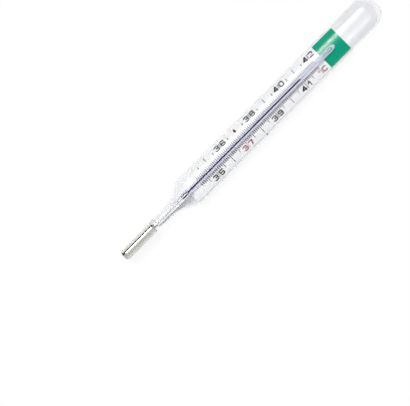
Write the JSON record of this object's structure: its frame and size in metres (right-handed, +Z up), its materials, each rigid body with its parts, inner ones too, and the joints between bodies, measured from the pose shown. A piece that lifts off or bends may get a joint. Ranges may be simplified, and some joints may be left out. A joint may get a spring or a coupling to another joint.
{
  "type": "clinical thermometer",
  "caption": "Enclosed-scale clinical thermometer: an oval glass tube holds a printed scale plate and a capillary whose liquid-metal thread rises from a bulb and stays at the highest reading.",
  "frame": {"origin": "on the resting surface, below the middle of the tube's length", "axes": "+X along the tube from the bulb to the sealed end, +Y across the scale towards the upper numerals, +Z up out of the scale's face"},
  "size_m": [0.127, 0.012, 0.009],
  "materials": {
    "tube_glass": "clear polished glass",
    "bulb_glass": "clear polished glass",
    "capillary_glass": "clear polished glass with a faint blue cast",
    "liquid_metal": "bright liquid metal",
    "thread_metal": "bright liquid metal that looks dark against the white plate",
    "plate_white": "satin opal white",
    "band_green": "printed satin",
    "ink_black": "printed matte",
    "ink_red": "printed matte",
    "datum_enamel": "fired enamel"
  },
  "bodies": {
    "thermometer": {"outer_tube": "tube_glass", "datum_mark": "datum_enamel", "bulb_glass": "bulb_glass", "bulb_metal": "liquid_metal", "constriction_pin": "capillary_glass", "capillary_stem": "capillary_glass", "capillary_tube": "capillary_glass", "thread_column": "thread_metal", "scale_plate": "plate_white", "colour_band": "band_green", "lower_tenth_lines": "ink_black", "upper_tenth_lines": "ink_black", "half_degree_lines": "ink_black", "degree_lines": "ink_black", "upper_marks": "ink_black", "upper_numerals": "ink_black", "lower_numerals": "ink_black", "red_numeral": "ink_red", "unit_sign": "ink_red", "normal_dot": "ink_red"},
    "meniscus": {"thread_end": "thread_metal"}
  },
  "joints": [
    {"name": "thread_rise", "type": "slide", "parent": "thermometer", "child": "meniscus", "axis": [1, 0, 0], "range_m": [-0.0444, 0.0074], "deforming": ["thread_column"]}
  ]
}
